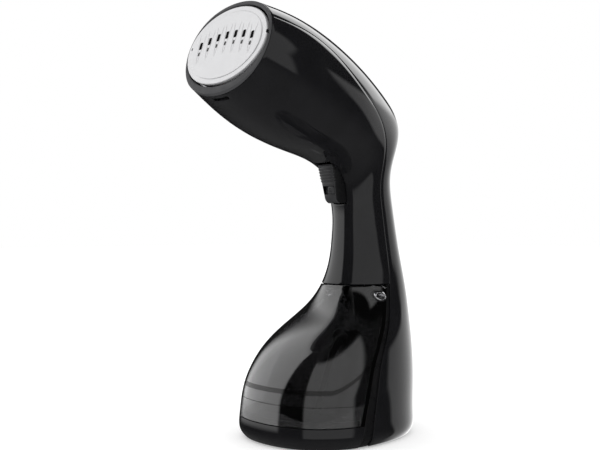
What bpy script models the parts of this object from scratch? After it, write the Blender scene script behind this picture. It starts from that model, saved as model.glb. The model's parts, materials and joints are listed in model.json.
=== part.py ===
"""Upright handheld garment steamer, built as an assembly of separate pieces.

Blender 4.5, metres, +Z up.  The steam head looks towards -Y, the handle and the
supply-cord leg are at the back, and the removable water tank slides out to -Y.
All helper functions take millimetres in a design frame whose origin is the
centre of the base; Y_SHIFT then centres the whole object's box on the origin.
"""

import bmesh
import bpy
import math
from mathutils import Matrix, Vector

# ---------------------------------------------------------------- dimensions
MM = 0.001
Y_SHIFT = 17.768         # moves the object's box centre onto Y = 0
GAP = 0.3                # clearance kept between neighbouring pieces
WALL = 2.2               # moulded wall thickness of the casings
TANK_WALL = 2.0
BASE_Z = 0.8             # lower edge of the casings; the rubber feet reach 0

# Cross-sections from the steam face (first) to the base (last):
# under/front point y, z   top/rear point y, z   half width  exponent  egg
SECTIONS = [
    (-101.5, 225.5, -82.0, 285.0, 45.0, 2.15, 0.00),
    (-76.0, 209.5, -57.0, 281.0, 46.5, 2.15, 0.00),
    (-51.0, 198.0, -24.5, 271.0, 44.5, 2.15, 0.00),
    (-27.0, 191.5, 7.0, 255.5, 40.0, 2.15, 0.00),
    (-8.0, 185.5, 37.0, 237.0, 33.0, 2.15, 0.00),
    (2.5, 176.5, 57.5, 216.0, 25.5, 2.15, 0.00),
    (7.0, 163.5, 49.6, 186.5, 21.5, 2.15, 0.00),
    (8.5, 150.0, 52.5, 161.5, 19.5, 2.15, 0.00),
    (8.0, 133.0, 57.0, 136.0, 21.0, 2.15, 0.00),
    (6.0, 117.0, 60.5, 117.0, 23.5, 2.15, 0.00),
    (1.0, 103.0, 62.5, 103.0, 27.0, 2.15, 0.00),
    (-8.0, 90.0, 63.5, 90.0, 31.5, 2.20, 0.04),
    (-26.0, 77.0, 63.5, 77.0, 38.0, 2.20, 0.06),
    (-44.0, 63.0, 63.5, 63.0, 44.0, 2.25, 0.08),
    (-54.0, 50.0, 63.0, 50.0, 47.5, 2.30, 0.09),
    (-60.0, 37.0, 62.5, 37.0, 50.0, 2.30, 0.10),
    (-63.5, 15.0, 61.0, 15.0, 52.0, 2.30, 0.10),
    (-62.5, 4.0, 60.0, 4.0, 51.0, 2.30, 0.10),
    (-59.0, 0.0, 57.5, 0.0, 48.0, 2.30, 0.10),
]
SEAM_S = 10              # section at the tank's top seam
SEAM_Z = 103.0
CAP_Z = 15.0             # seam between the tank and its base cap
BEZEL_S = 0.10           # the bezel lip ends this far along the first span
# front/rear casing parting line, as a fraction of the half depth, by section
PARTING = [0.50, 0.52, 0.42, 0.22, 0.08, -0.08, -0.06, 0.0, 0.0, -0.01, -0.05]
# tank's slanting rear face in the side view: z, y, and the bay flange's width
BAY_LINE = [(0.0, -22.5, 8.0), (15.0, -20.0, 8.0), (37.0, -12.5, 6.6),
            (55.0, -3.5, 5.4), (79.0, 15.5, 3.8), (103.0, 27.5, 2.8), (112.0, 30.0, 2.4)]
# steam face
PLATE_A, PLATE_B, PLATE_N = 39.5, 26.3, 2.15
SLOT_PITCH, SLOT_RISE, SLOT_DROP, SLOT_W, SLOT_H = 8.6, 7.0, 0.0060, 2.3, 5.6
VENT_BELOW = 5.4
# trigger
TRIG_HALF = 7.4
TRIG_PIVOT = (9.0, 184.0)
# release button
BTN_Y, BTN_Z, BTN_A, BTN_B = 18.5, 95.4, 4.3, 3.0
# water coupling
PORT_X, PORT_Z = 18.0, 66.0

# ---------------------------------------------------------------- scene
for o in list(bpy.data.objects):
    bpy.data.objects.remove(o, do_unlink=True)
scene = bpy.context.scene
PARTS = bpy.data.collections.new("garment_steamer")
CUTS = bpy.data.collections.new("cutters")
scene.collection.children.link(PARTS)
scene.collection.children.link(CUTS)

MATS = {}


def material(name, rgb, rough, metal=0.0, alpha=1.0):
    m = bpy.data.materials.new(name)
    m.use_nodes = True
    b = m.node_tree.nodes["Principled BSDF"]
    b.inputs["Base Color"].default_value = (*rgb, 1.0)
    b.inputs["Roughness"].default_value = rough
    b.inputs["Metallic"].default_value = metal
    b.inputs["Alpha"].default_value = alpha
    m.diffuse_color = (*rgb, alpha)
    MATS[name] = m
    return m


material("gloss_black", (0.012, 0.012, 0.013), 0.08)
material("satin_black", (0.03, 0.03, 0.032), 0.35)
material("bezel_grey", (0.06, 0.06, 0.065), 0.45)
material("soleplate_silver", (0.78, 0.78, 0.79), 0.28, 1.0)
material("smoked_clear", (0.10, 0.10, 0.11), 0.06, 0.0, 0.45)
material("cast_aluminium", (0.62, 0.62, 0.62), 0.5, 1.0)
material("steel", (0.66, 0.66, 0.68), 0.3, 1.0)
material("rubber_black", (0.02, 0.02, 0.02), 0.75)
material("silicone_red", (0.45, 0.07, 0.05), 0.5)
material("silicone_clear", (0.8, 0.8, 0.78), 0.4)
material("nylon_white", (0.8, 0.8, 0.77), 0.45)
material("board_green", (0.03, 0.20, 0.08), 0.5)
material("copper_wrap", (0.55, 0.22, 0.07), 0.4, 1.0)
material("button_clear", (0.35, 0.35, 0.37), 0.1)


# ---------------------------------------------------------------- body shape
def catmull(rows, s):
    n = len(rows)
    i = max(0, min(n - 2, int(math.floor(s))))
    t = s - i
    p1, p2 = rows[i], rows[i + 1]
    p0 = rows[i - 1] if i > 0 else [2 * a - b for a, b in zip(p1, p2)]
    p3 = rows[i + 2] if i + 2 < n else [2 * b - a for a, b in zip(p1, p2)]
    return [0.5 * (2 * b + (c - a) * t + (2 * a - 5 * b + 4 * c - d) * t * t
                   + (3 * b - a - 3 * c + d) * t ** 3)
            for a, b, c, d in zip(p0, p1, p2, p3)]


def spow(v, p):
    return math.copysign(abs(v) ** p, v)


def section(s, inset=0.0):
    """Centre y, z, half depth vector y, z, half width, exponent and egg at s."""
    fy, fz, ry, rz, w, n, e = catmull(SECTIONS, s)
    hy, hz = (ry - fy) / 2, (rz - fz) / 2
    long = math.hypot(hy, hz)
    k = (long - inset) / long
    return (fy + ry) / 2, (fz + rz) / 2, hy * k, hz * k, w - inset, n, e


def skin(s, t, inset=0.0):
    """Point on the body: t runs from the top/rear (0) over +X to the front (180 deg)."""
    cy, cz, hy, hz, w, n, e = section(s, inset)
    u = spow(math.cos(t), 2 / n)
    q = spow(math.sin(t), 2 / n) * (1 - e * u)
    return (w * q, cy + hy * u, cz + hz * u)


def angle_of_u(u, n):
    u = max(-1.0, min(1.0, u))
    return math.acos(max(-1.0, min(1.0, spow(u, n / 2))))


def s_at_z(z):
    lo, hi = 9.0, len(SECTIONS) - 1.0
    for _ in range(50):
        mid = (lo + hi) / 2
        if section(mid)[1] > z:
            lo = mid
        else:
            hi = mid
    return (lo + hi) / 2


def bay_y(z):
    """Tank's rear face and the flange's width at height z."""
    i = 0
    while i < len(BAY_LINE) - 2 and z > BAY_LINE[i + 1][0]:
        i += 1
    t = (z - BAY_LINE[i][0]) / (BAY_LINE[i + 1][0] - BAY_LINE[i][0])
    y, width = catmull([r[1:] for r in BAY_LINE], i + t)
    return y, width


def angle_at_y(s, y, inset=0.0):
    cy, cz, hy, hz, w, n, e = section(s, inset)
    return angle_of_u((y - cy) / hy, n)


def parting_angle(s):
    """Angle of the seam between the front and the rear casing."""
    if s <= SEAM_S:
        u = catmull([(v,) for v in PARTING], s)[0]
        return angle_of_u(u, section(s)[5])
    z = section(s)[1]
    y, width = bay_y(z)
    return angle_at_y(s, y + width)


def skin_x(y, z):
    """Half width of the body at a side-view point below the tank seam."""
    s = s_at_z(z)
    cy, cz, hy, hz, w, n, e = section(s)
    t = angle_of_u((y - cy) / hy, n)
    return skin(s, t)[0]


def span(a, b, n):
    return [a + (b - a) * i / (n - 1) for i in range(n)]


# steam head frame: x across, v up the face, f out of the face
_h = SECTIONS[0]
_hl = math.hypot(_h[2] - _h[0], _h[3] - _h[1])
FACE_V = ((_h[2] - _h[0]) / _hl, (_h[3] - _h[1]) / _hl)
FACE_F = (-FACE_V[1], FACE_V[0])
FACE_C = ((_h[0] + _h[2]) / 2, (_h[1] + _h[3]) / 2)


def head(x, v, f):
    return (x, FACE_C[0] + FACE_V[0] * v + FACE_F[0] * f,
            FACE_C[1] + FACE_V[1] * v + FACE_F[1] * f)


def oval(a, b, f, count=32, cx=0.0, cv=0.0, n=PLATE_N):
    out = []
    for i in range(count):
        t = 2 * math.pi * i / count
        out.append(head(cx + a * spow(math.cos(t), 2 / n), cv + b * spow(math.sin(t), 2 / n), f))
    return out


# ---------------------------------------------------------------- makers
def W(p):
    return Vector((p[0] * MM, (p[1] + Y_SHIFT) * MM, p[2] * MM))


def place(name, bm, mat, pivot=None, cutter=False, smooth=True, recalc=True):
    """Turn a bmesh in world metres into an object whose origin is pivot (mm)."""
    if recalc:
        bmesh.ops.recalc_face_normals(bm, faces=bm.faces[:])
    if pivot is None:
        lo = Vector((min(v.co.x for v in bm.verts), min(v.co.y for v in bm.verts), min(v.co.z for v in bm.verts)))
        hi = Vector((max(v.co.x for v in bm.verts), max(v.co.y for v in bm.verts), max(v.co.z for v in bm.verts)))
        at = (lo + hi) / 2
    else:
        at = W(pivot)
    bmesh.ops.translate(bm, verts=bm.verts[:], vec=-at)
    me = bpy.data.meshes.new(name)
    bm.to_mesh(me)
    bm.free()
    ob = bpy.data.objects.new(name, me)
    ob.location = at
    if cutter:
        CUTS.objects.link(ob)
        ob.hide_render = True
        ob.display_type = "WIRE"
    else:
        PARTS.objects.link(ob)
        me.materials.append(MATS[mat])
        if smooth:
            me.shade_smooth()
            me.set_sharp_from_angle(angle=math.radians(35))
    return ob


def bevel(ob, width, segments=1):
    m = ob.modifiers.new("edges", "BEVEL")
    m.width = width * MM
    m.segments = segments
    m.limit_method = "ANGLE"
    m.angle_limit = math.radians(40)
    return ob


def solidify(ob, thick):
    m = ob.modifiers.new("wall", "SOLIDIFY")
    m.thickness = thick * MM
    m.offset = -1.0
    m.use_even_offset = True
    m.use_quality_normals = True
    return ob


def boolean(ob, cutter, op="DIFFERENCE"):
    m = ob.modifiers.new(op.lower(), "BOOLEAN")
    m.operation = op
    m.solver = "EXACT"
    m.object = cutter
    return ob


def box(name, lo, hi, mat="satin_black", pivot=None, cutter=False, edge=0.0):
    bm = bmesh.new()
    bmesh.ops.create_cube(bm, size=1.0)
    a, b = W(lo), W(hi)
    for v in bm.verts:
        v.co = Vector(tuple((p + q) / 2 + c * (q - p) for p, q, c in zip(a, b, v.co)))
    ob = place(name, bm, mat, pivot, cutter, smooth=False)
    if edge:
        bevel(ob, edge)
    return ob


def rod(name, p0, p1, r, mat="steel", sides=20, pivot=None, cutter=False, r2=None, edge=0.0):
    a, b = W(p0), W(p1)
    bm = bmesh.new()
    bmesh.ops.create_cone(bm, cap_ends=True, segments=sides, radius1=r * MM,
                          radius2=(r if r2 is None else r2) * MM, depth=(b - a).length)
    turn = Vector((0, 0, 1)).rotation_difference(b - a).to_matrix().to_4x4()
    bmesh.ops.transform(bm, matrix=Matrix.Translation((a + b) / 2) @ turn, verts=bm.verts[:])
    ob = place(name, bm, mat, pivot, cutter)
    if edge:
        bevel(ob, edge)
    return ob


def turned(name, base, direction, profile, mat, steps=24):
    """Screw a profile of (radius, height) points, listed from the top down, about an axis.
    A profile whose ends lie on the axis is solid; one that returns to its start has a bore."""
    bm = bmesh.new()
    vs = [bm.verts.new((r * MM, 0.0, h * MM)) for r, h in profile]
    for a, b in zip(vs[:-1], vs[1:]):
        bm.edges.new((a, b))
    if profile[0][0] > 0:
        bm.edges.new((vs[-1], vs[0]))
    me = bpy.data.meshes.new(name)
    bm.to_mesh(me)
    bm.free()
    ob = bpy.data.objects.new(name, me)
    PARTS.objects.link(ob)
    me.materials.append(MATS[mat])
    ob.location = W(base)
    ob.rotation_euler = Vector((0, 0, 1)).rotation_difference(Vector(direction)).to_euler()
    m = ob.modifiers.new("turn", "SCREW")
    m.axis = "Z"
    m.angle = 2 * math.pi
    m.steps = steps
    m.render_steps = steps
    m.use_merge_vertices = True
    m.merge_threshold = 0.00001
    m.use_smooth_shade = True
    return ob


def loft(name, loops, mat, ring=False, pivot=None, cutter=False, smooth=True):
    """Closed solid through equal-length loops: capped at both ends, or a ring."""
    bm = bmesh.new()
    vs = [[bm.verts.new(W(p)) for p in lp] for lp in loops]
    n = len(loops[0])
    pairs = list(zip(vs[:-1], vs[1:])) + ([(vs[-1], vs[0])] if ring else [])
    for a, b in pairs:
        for i in range(n):
            j = (i + 1) % n
            bm.faces.new((a[i], a[j], b[j], b[i]))
    if not ring:
        bm.faces.new(vs[0])
        bm.faces.new(vs[-1])
    return place(name, bm, mat, pivot, cutter, smooth)


def sheet(name, rows, mat, thick, closed=False, cap_top=False, cap_bottom=False):
    """Open surface through rows of points, thickened inwards."""
    bm = bmesh.new()
    vs = [[bm.verts.new(W(p)) for p in r] for r in rows]
    n = len(rows[0])
    for a, b in zip(vs[:-1], vs[1:]):
        for i in range(n if closed else n - 1):
            j = (i + 1) % n
            bm.faces.new((a[i], a[j], b[j], b[i]))
    if cap_top:
        bm.faces.new(list(reversed(vs[0])))
    if cap_bottom:
        bm.faces.new(vs[-1])
    ob = place(name, bm, mat, recalc=False)
    return solidify(ob, thick)


def prism(name, outline, x0, x1, mat="satin_black", pivot=None, cutter=False, edge=0.0):
    """Side-view outline (y, z) drawn as a filled curve, extruded across X and made a mesh."""
    cu = bpy.data.curves.new(name + "_outline", "CURVE")
    cu.dimensions = "2D"
    cu.fill_mode = "BOTH"
    cu.extrude = abs(x1 - x0) / 2 * MM
    sp = cu.splines.new("POLY")
    sp.points.add(len(outline) - 1)
    for pt, (y, z) in zip(sp.points, outline):
        pt.co = ((y + Y_SHIFT) * MM, z * MM, 0.0, 1.0)
    sp.use_cyclic_u = True
    co = bpy.data.objects.new(name + "_outline", cu)
    scene.collection.objects.link(co)
    bpy.context.view_layer.update()
    me = bpy.data.meshes.new_from_object(co.evaluated_get(bpy.context.evaluated_depsgraph_get()))
    bm = bmesh.new()
    bm.from_mesh(me)
    bmesh.ops.remove_doubles(bm, verts=bm.verts[:], dist=1e-6)
    swap = Matrix(((0, 0, 1, (x0 + x1) / 2 * MM), (1, 0, 0, 0), (0, 1, 0, 0), (0, 0, 0, 1)))
    bmesh.ops.transform(bm, matrix=swap, verts=bm.verts[:])
    bpy.data.objects.remove(co, do_unlink=True)
    bpy.data.meshes.remove(me)
    ob = place(name, bm, mat, pivot, cutter, smooth=False)
    if edge:
        bevel(ob, edge)
    return ob


def smooth_path(points, per=5):
    rows = [tuple(p) for p in points]
    out = []
    for i in range(len(rows) - 1):
        for k in range(per):
            out.append(tuple(catmull(rows, i + k / per)))
    out.append(rows[-1])
    return out


def tube(name, points, r, mat, res=2):
    cu = bpy.data.curves.new(name, "CURVE")
    cu.dimensions = "3D"
    cu.bevel_depth = r * MM
    cu.bevel_resolution = res
    cu.use_fill_caps = True
    sp = cu.splines.new("POLY")
    sp.points.add(len(points) - 1)
    at = W(points[0])
    for pt, p in zip(sp.points, points):
        pt.co = (*(W(p) - at), 1.0)
    ob = bpy.data.objects.new(name, cu)
    ob.location = at
    cu.materials.append(MATS[mat])
    PARTS.objects.link(ob)
    return ob


# ---------------------------------------------------------------- casings
FRONT_COLS, REAR_COLS = 15, 11


def seam_step(s):
    cy, cz, hy, hz, w, n, e = section(s)
    return 0.42 / math.hypot(hy, hz)


def front_row(s):
    a = parting_angle(s) + seam_step(s)
    return [skin(s, t) for t in span(a, 2 * math.pi - a, FRONT_COLS)]


def rear_row(s):
    a = parting_angle(s) - seam_step(s)
    return [skin(s, t) for t in span(-a, a, REAR_COLS)]


S_TOP = BEZEL_S + 0.02
S_BOTTOM = s_at_z(BASE_Z)
S_HOUSING_END = s_at_z(SEAM_Z + 0.2)
upper = [S_TOP, 0.6, 1.0, 1.5, 2.0, 2.5, 3.0, 3.5, 4.0, 4.5, 5.0, 5.4, 5.8, 6.3, 7.0, 8.0, 9.0, S_HOUSING_END]
lower = [s_at_z(z) for z in (96.5, 90.0, 83.5, 77.0, 70.0, 63.0, 56.5, 50.0, 37.0, 26.0, 15.0, 8.0, 4.0, 1.6)] + [S_BOTTOM]

front_housing = sheet("front_housing", [front_row(s) for s in upper], "gloss_black", WALL)
rear_cover = sheet("rear_cover", [rear_row(s) for s in upper + lower], "gloss_black", WALL)

# trigger opening through the front casing
boolean(front_housing, box("trigger_opening", (-TRIG_HALF - 0.9, -22, 156.0), (TRIG_HALF + 0.9, 14.5, 184.6), cutter=True))
# accessory clip slot under the head, a curved notch just behind the bezel
boolean(front_housing, box("clip_slot", (-9.5, -97.6, 218.5), (9.5, -95.9, 226.5), cutter=True))
# two screw bosses inside the rear casing, drilled from below
for side in (-1, 1):
    tag = "left" if side < 0 else "right"
    boolean(rear_cover, box("boss_web_" + tag, (min(26 * side, 33.2 * side), 42, 5.2), (max(26 * side, 33.2 * side), 44, 15.2),
                            cutter=True), "UNION")
    boolean(rear_cover, rod("boss_" + tag, (26 * side, 43, 4.6), (26 * side, 43, 16), 3.6, sides=14, cutter=True), "UNION")
for side in (-1, 1):
    tag = "left" if side < 0 else "right"
    boolean(rear_cover, rod("boss_bore_" + tag, (26 * side, 43, 2), (26 * side, 43, 13), 1.9, sides=14, cutter=True))
# cord outlet at the back of the leg
GLAND_Z = 14.0
boolean(rear_cover, rod("cord_hole", (0, 50, GLAND_Z), (0, 75, GLAND_Z), 5.4, sides=20, cutter=True))


# ---------------------------------------------------------------- steam head
def skin_loop(s, inset=0.0, count=32):
    # starts over +X and turns towards the top, as oval() does
    return [skin(s, math.pi / 2 - 2 * math.pi * i / count, inset) for i in range(count)]


loft("head_bezel", [
    oval(PLATE_A + 1.0, PLATE_B + 1.0, 0.5), oval(44.0, 29.9, 0.5), skin_loop(0.02), skin_loop(BEZEL_S),
    skin_loop(BEZEL_S, 2.8), skin_loop(0.28, 3.0), oval(PLATE_A + 1.0, PLATE_B + 1.0, -6.8)], "bezel_grey", ring=True)

soleplate = loft("soleplate", [
    oval(39.2, 26.0, -2.6), oval(39.5, 26.3, 0.9), oval(39.0, 25.8, 1.3),
    oval(35.4, 22.9, 1.3), oval(34.9, 22.4, 1.8)], "soleplate_silver")


def slot_loop(cx, cv, f, w, h, per=5):
    """Upright slot with round ends, as a closed loop of head-frame points."""
    r = w / 2
    out = []
    for i in range(per):
        a = math.pi * i / (per - 1)
        out.append(head(cx + r * math.cos(a), cv + h / 2 - r + r * math.sin(a), f))
    for i in range(per):
        a = math.pi + math.pi * i / (per - 1)
        out.append(head(cx + r * math.cos(a), cv - h / 2 + r + r * math.sin(a), f))
    return out


for k in range(-3, 4):
    cx = k * SLOT_PITCH
    cv = SLOT_RISE - SLOT_DROP * cx * cx
    boolean(soleplate, loft(f"steam_slot_{k + 4}", [slot_loop(cx, cv, -5, SLOT_W, SLOT_H),
                                                   slot_loop(cx, cv, 4, SLOT_W, SLOT_H)], None, cutter=True))

loft("plate_gasket", [oval(37.0, 24.0, -2.95), oval(37.0, 24.0, -3.9), oval(33.0, 20.0, -3.9),
                      oval(33.0, 20.0, -2.95)], "silicone_red", ring=True)
loft("boiler_block", [oval(29.0, 16.5, -13.0, 28), oval(30.0, 17.5, -4.2, 28), oval(36.5, 23.5, -4.2, 28),
                      oval(34.0, 21.0, -22.0, 28)], "cast_aluminium")
loft("heat_shield", [oval(38.9, 25.7, -5.0, 28), oval(38.9, 25.7, -25.0, 28), oval(38.1, 24.9, -25.0, 28),
                     oval(38.1, 24.9, -5.0, 28)], "steel", ring=True)
coil_path = [head(-9, 11, -36), head(-9.5, 11.4, -30), head(-14, 11.5, -25.7), head(-24, 8, -25.7), head(-27, 0, -25.7),
             head(-22, -9.5, -25.7), head(0, -11.5, -25.7), head(22, -9.5, -25.7), head(27, 0, -25.7),
             head(24, 8, -25.7), head(14, 11.5, -25.7), head(9.5, 11.4, -30), head(9, 11, -36)]
tube("heating_element", smooth_path(coil_path, 2), 3.0, "steel")
for side, tag in ((-1, "left"), (1, "right")):
    rod("heater_terminal_" + tag, head(9 * side, 11, -36.4), head(9 * side, 11, -43), 1.6, "nylon_white", 12)
rod("thermostat", head(0, 0, -22.4), head(0, 0, -29.5), 6.2, "steel", 20, edge=0.5)
rod("thermal_fuse", head(-22, 0.5, -24.8), head(-10.5, 0.5, -24.8), 2.0, "nylon_white", 12)
turned("inlet_nozzle", head(14.5, 0, -22.4), (0, -FACE_F[0], -FACE_F[1]),
       [(0.0, 10.0), (2.0, 10.0), (2.6, 7.0), (2.2, 7.0), (2.2, 4.0), (4.0, 4.0), (4.0, 0.0), (0.0, 0.0)], "steel", 14)

# ---------------------------------------------------------------- trigger
py, pz = TRIG_PIVOT
rib = []
z = 183.0
for k in range(6):
    y = -5.2 + (183.2 - z) * 0.1
    rib += [(y, z), (y, z - 1.1), (y + 0.7, z - 1.3), (y + 0.7, z - 1.8)]
    z -= 2.0
trigger_outline = rib + [(-3.9, 170.6), (-3.1, 162.6), (-2.3, 160.2), (-0.4, 158.4), (2.4, 157.6), (11.6, 158.2),
                         (12.0, 170.0), (13.2, 176.0), (13.6, 186.0), (11.6, 188.2), (7.4, 188.2), (5.0, 185.6), (4.4, 184.2), (-3.6, 183.9)]
trigger = prism("trigger", trigger_outline, -TRIG_HALF, TRIG_HALF, "satin_black", (0, py, pz))
boolean(trigger, box("lock_recess", (-5.8, -12, 164.4), (5.6, -0.3, 169.8), cutter=True))
boolean(trigger, rod("trigger_bore", (-14, py, pz), (14, py, pz), 1.75, sides=20, cutter=True))
boolean(trigger, box("trigger_hollow", (-5.4, 3.2, 150), (5.4, 30, 173.6), cutter=True))
box("trigger_lock", (0.4, -4.3, 164.8), (5.3, -0.7, 169.4), "satin_black", (0.4, -0.7, 167.1), edge=0.5)
rod("trigger_pin", (-12.6, py, pz), (12.6, py, pz), 1.5, "steel", 20, (0, py, pz))

bracket = prism("trigger_bracket", [(5.4, 184), (7.0, 182), (9.0, 180), (10.5, 178), (11.8, 175), (13.3, 170), (14.8, 165),
                                    (16.6, 157.5), (23.6, 157.5), (23.6, 189.5), (6.0, 189.5)], -12.2, 12.2, "satin_black")
boolean(bracket, box("bracket_inside", (-10.4, -30, 150), (10.4, 21.8, 200), cutter=True))
boolean(bracket, rod("bracket_bore", (-20, py, pz), (20, py, pz), 1.8, sides=20, cutter=True))
microswitch = box("microswitch", (-5, 15.4, 165.0), (5, 21.5, 178.5), "satin_black", edge=0.4)
boolean(microswitch, rod("plunger_bore", (0, 10, 170.5), (0, 19.5, 170.5), 1.6, sides=14, cutter=True))
rod("switch_plunger", (0, 3.6, 170.5), (0, 17.6, 170.5), 1.2, "nylon_white", 14, (0, 15.4, 170.5))
turns, per_turn, y0, y1 = 4.5, 9, 3.9, 21.0
count = int(turns * per_turn)
tube("trigger_spring", [(2.4 * math.cos(2 * math.pi * i / per_turn), y0 + (y1 - y0) * i / count,
                         161.6 + 2.4 * math.sin(2 * math.pi * i / per_turn)) for i in range(count + 1)],
     0.4, "steel", 1)

# ---------------------------------------------------------------- tank bay
def arc_y(s, y, inset=0.0):
    return angle_at_y(s, y, inset)


def bay_row(z):
    s = s_at_z(z)
    y, width = bay_y(z)
    step = 0.25 / section(s)[2]
    a = arc_y(s, y + width) + step
    b = arc_y(s, y) - 1.2 * step
    right = [skin(s, t) for t in span(a, b, 3)]
    x, yy, zz = right[-1]
    web = [(x * (1 - 2 * i / 7), yy, zz) for i in range(1, 7)]
    left = [(-p[0], p[1], p[2]) for p in reversed(right)]
    return right + web + left


bay_rows = [bay_row(z) for z in (102.6, 97, 90, 83.5, 77, 70, 63, 56.5, 50, 43, 37, 26, 15, 6)] + [bay_row(BASE_Z)]
tank_bay = sheet("tank_bay", bay_rows, "gloss_black", 1.8)
boolean(tank_bay, rod("bay_port", (PORT_X, -20, PORT_Z), (PORT_X, 30, PORT_Z), 3.9, sides=18, cutter=True))


def front_d(z, inset, y_cut, arc=15, chord=5):
    """D-shaped loop in front of y_cut at height z."""
    s = s_at_z(z)
    a = angle_at_y(s, y_cut, inset)
    pts = [skin(s, t, inset) for t in span(a, 2 * math.pi - a, arc)]
    x0, y, zz = pts[-1]
    return pts + [(x0 * (1 - 2 * i / (chord + 1)), y, zz) for i in range(1, chord + 1)]


def rear_d(z, inset, y_cut, arc=13, chord=3):
    s = s_at_z(z)
    a = angle_at_y(s, y_cut, inset)
    pts = [skin(s, t, inset) for t in span(-a, a, arc)]
    x0, y, zz = pts[-1]
    return pts + [(x0 * (1 - 2 * i / (chord + 1)), y, zz) for i in range(1, chord + 1)]


loft("tank_bay_roof", [[(x, y, 103.4) for x, y, _ in front_d(103.4, 2.7, 29.5)],
                       [(x, y, 105.4) for x, y, _ in front_d(105.4, 2.7, 29.5)]], "gloss_black")

# ---------------------------------------------------------------- water tank
TANK_ZS = (102.4, 101.4, 96.5, 90.0, 83.5, 77.0, 70.0, 63.0, 56.5, 50.0, 43.0, 37.0, 26.0, 15.6)


def tank_loop(z, inset=0.0):
    return front_d(z, inset, bay_y(z)[0] - 0.35 - inset, 19, 5)


tank_rows = [tank_loop(z, 0.5 if z > 102 else 0.0) for z in TANK_ZS]
tank_shell = sheet("tank_shell", tank_rows, "smoked_clear", TANK_WALL, closed=True, cap_top=True)


def button_loop(a, b, x_of, side, count=16):
    out = []
    for i in range(count):
        t = 2 * math.pi * i / count
        y, z = BTN_Y + a * math.cos(t), BTN_Z + b * math.sin(t)
        out.append((side * x_of(y, z), y, z))
    return out


for side, tag in ((-1, "left"), (1, "right")):
    boolean(tank_shell, loft("latch_boss_" + tag, [
        button_loop(5.0, 3.9, lambda y, z: 19.0, side), button_loop(5.0, 3.9, lambda y, z: skin_x(y, z) - 0.9, side)],
        None, cutter=True), "UNION")
for side, tag in ((-1, "left"), (1, "right")):
    boolean(tank_shell, loft("latch_bore_" + tag, [
        button_loop(BTN_A + 0.35, BTN_B + 0.35, lambda y, z: 20.4, side),
        button_loop(BTN_A + 0.35, BTN_B + 0.35, lambda y, z: 40.0, side)], None, cutter=True))
    loft("release_button_" + tag, [
        button_loop(BTN_A, BTN_B, lambda y, z: 23.2, side),
        button_loop(BTN_A, BTN_B, lambda y, z: skin_x(y, z) - 0.5, side),
        button_loop(BTN_A - 0.7, BTN_B - 0.7, lambda y, z: skin_x(y, z) - 0.1, side)],
        "button_clear", pivot=(side * 23.2, BTN_Y, BTN_Z))
    # bent spring strip behind each button
    strip = [(20.7, -3.0), (21.0, -3.0), (22.8, -0.4), (22.8, 0.4), (21.0, 3.0), (20.7, 3.0), (22.4, 0.3), (22.4, -0.3)]
    loft("button_spring_" + tag, [[(side * x, BTN_Y + y, BTN_Z - 1.2) for x, y in strip],
                                  [(side * x, BTN_Y + y, BTN_Z + 1.2) for x, y in strip]], "steel", smooth=False)
boolean(tank_shell, rod("tank_port", (PORT_X, -12, PORT_Z), (PORT_X, 30, PORT_Z), 5.4, sides=18, cutter=True))

cap_rows = [tank_loop(z) for z in (14.7, 8.0, 4.0, 1.6)] + [tank_loop(BASE_Z)]
tank_cap = sheet("tank_base_cap", cap_rows, "gloss_black", 2.0, closed=True, cap_bottom=True)
FLAP_Y0, FLAP_Y1, FLAP_HALF, FLAP_AXIS_Y, FLAP_AXIS_Z = -44.0, -29.0, 11.0, -29.7, 1.8
boolean(tank_cap, box("filler_hole", (-FLAP_HALF - 0.5, FLAP_Y0 - 0.6, -2), (FLAP_HALF + 0.5, FLAP_Y1 + 0.9, 6), cutter=True))
loft("tank_seal", [tank_loop(z, i) for z, i in ((18.5, 2.5), (12.5, 2.5), (12.5, 4.3), (18.5, 4.3))], "rubber_black", ring=True)
box("filler_flap", (-FLAP_HALF, FLAP_Y0, 1.0), (FLAP_HALF, FLAP_Y1, 2.6), "satin_black", (0, FLAP_AXIS_Y, FLAP_AXIS_Z), edge=0.4)
box("filler_seal", (-FLAP_HALF + 2.2, FLAP_Y0 + 2.2, 2.9), (FLAP_HALF - 2.2, FLAP_Y1 - 3.4, 4.3), "silicone_clear",
    (0, FLAP_AXIS_Y, FLAP_AXIS_Z), edge=0.4)

# outlet valve in the tank's rear wall, and the pick-up pipe to the floor
turned("outlet_valve", (PORT_X, -8.5, PORT_Z), (0, 1, 0),
       [(5.0, 9.0), (5.0, 3.0), (7.5, 1.5), (7.5, 0.0), (2.0, 0.0), (2.0, 2.0), (4.0, 2.0), (4.0, 9.0)], "nylon_white", 20)
tube("pickup_tube", smooth_path([(PORT_X, -8.9, 66), (PORT_X, -10.5, 65.8), (PORT_X, -13.5, 62), (PORT_X, -17, 56), (PORT_X, -24, 40),
                                 (PORT_X, -29, 26), (PORT_X, -31, 19)], 3), 2.2, "silicone_clear")
turned("inlet_spout", (PORT_X, -4.0, PORT_Z), (0, 1, 0),
       [(3.4, 22.0), (3.4, 3.0), (2.8, 0.0), (1.8, 0.0), (1.8, 22.0)], "nylon_white", 18)

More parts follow.
